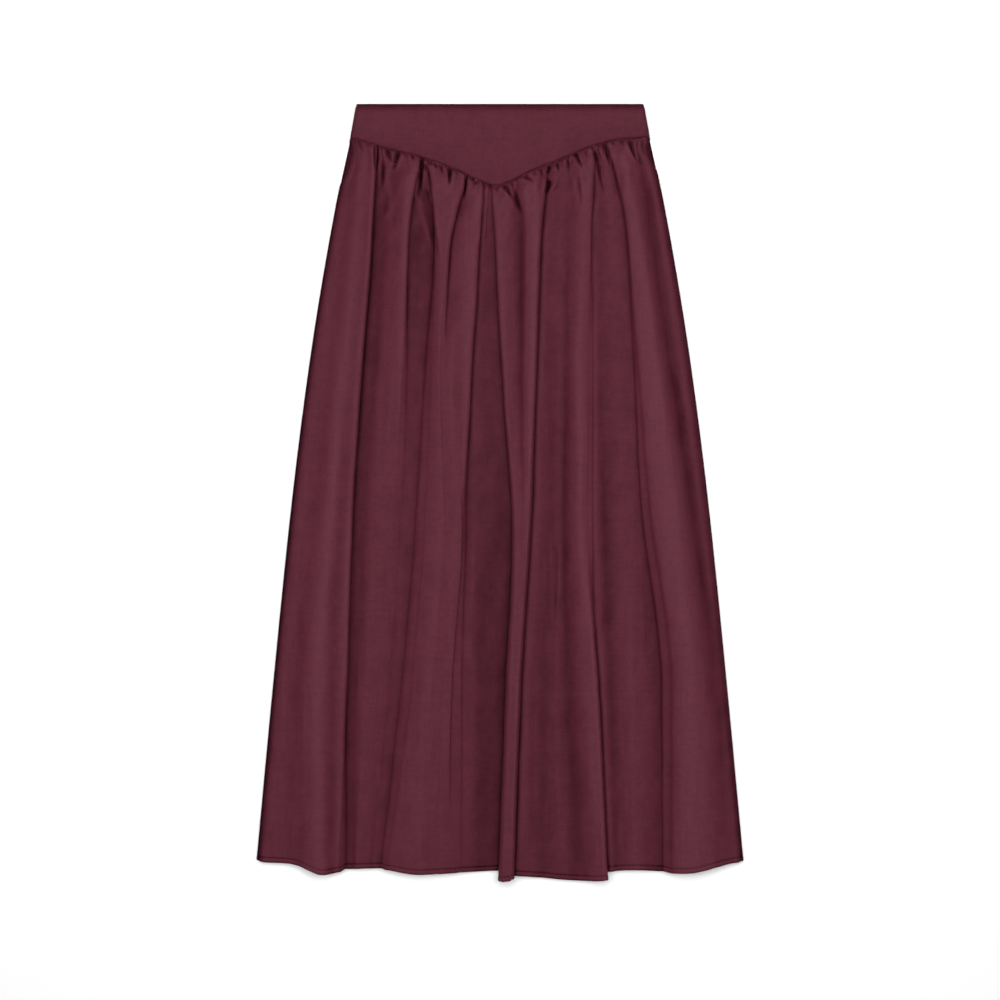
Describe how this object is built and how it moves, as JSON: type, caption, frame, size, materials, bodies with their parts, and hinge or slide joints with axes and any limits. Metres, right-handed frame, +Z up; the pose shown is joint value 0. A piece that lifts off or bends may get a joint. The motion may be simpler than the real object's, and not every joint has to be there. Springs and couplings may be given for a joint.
{
  "type": "maxi skirt",
  "caption": "Long gathered A-line skirt laid flat, with a V-pointed front yoke, a plain band behind it and gathered front and back panels that hang in soft folds.",
  "frame": {"origin": "centre of the laid-out skirt's outline, on the surface that it lies on", "axes": "+X to the right across the skirt as seen from above, +Y from the hem to the waist, +Z up from the surface to the front of the skirt"},
  "size_m": [0.602, 0.96, 0.0138],
  "materials": {
    "wine_cotton": "light plain weave with fine slubs, matte with a slight sheen"
  },
  "bodies": {
    "root": {"front_yoke": "wine_cotton", "back_waistband": "wine_cotton", "front_panel": "wine_cotton", "back_panel": "wine_cotton"}
  },
  "joints": []
}
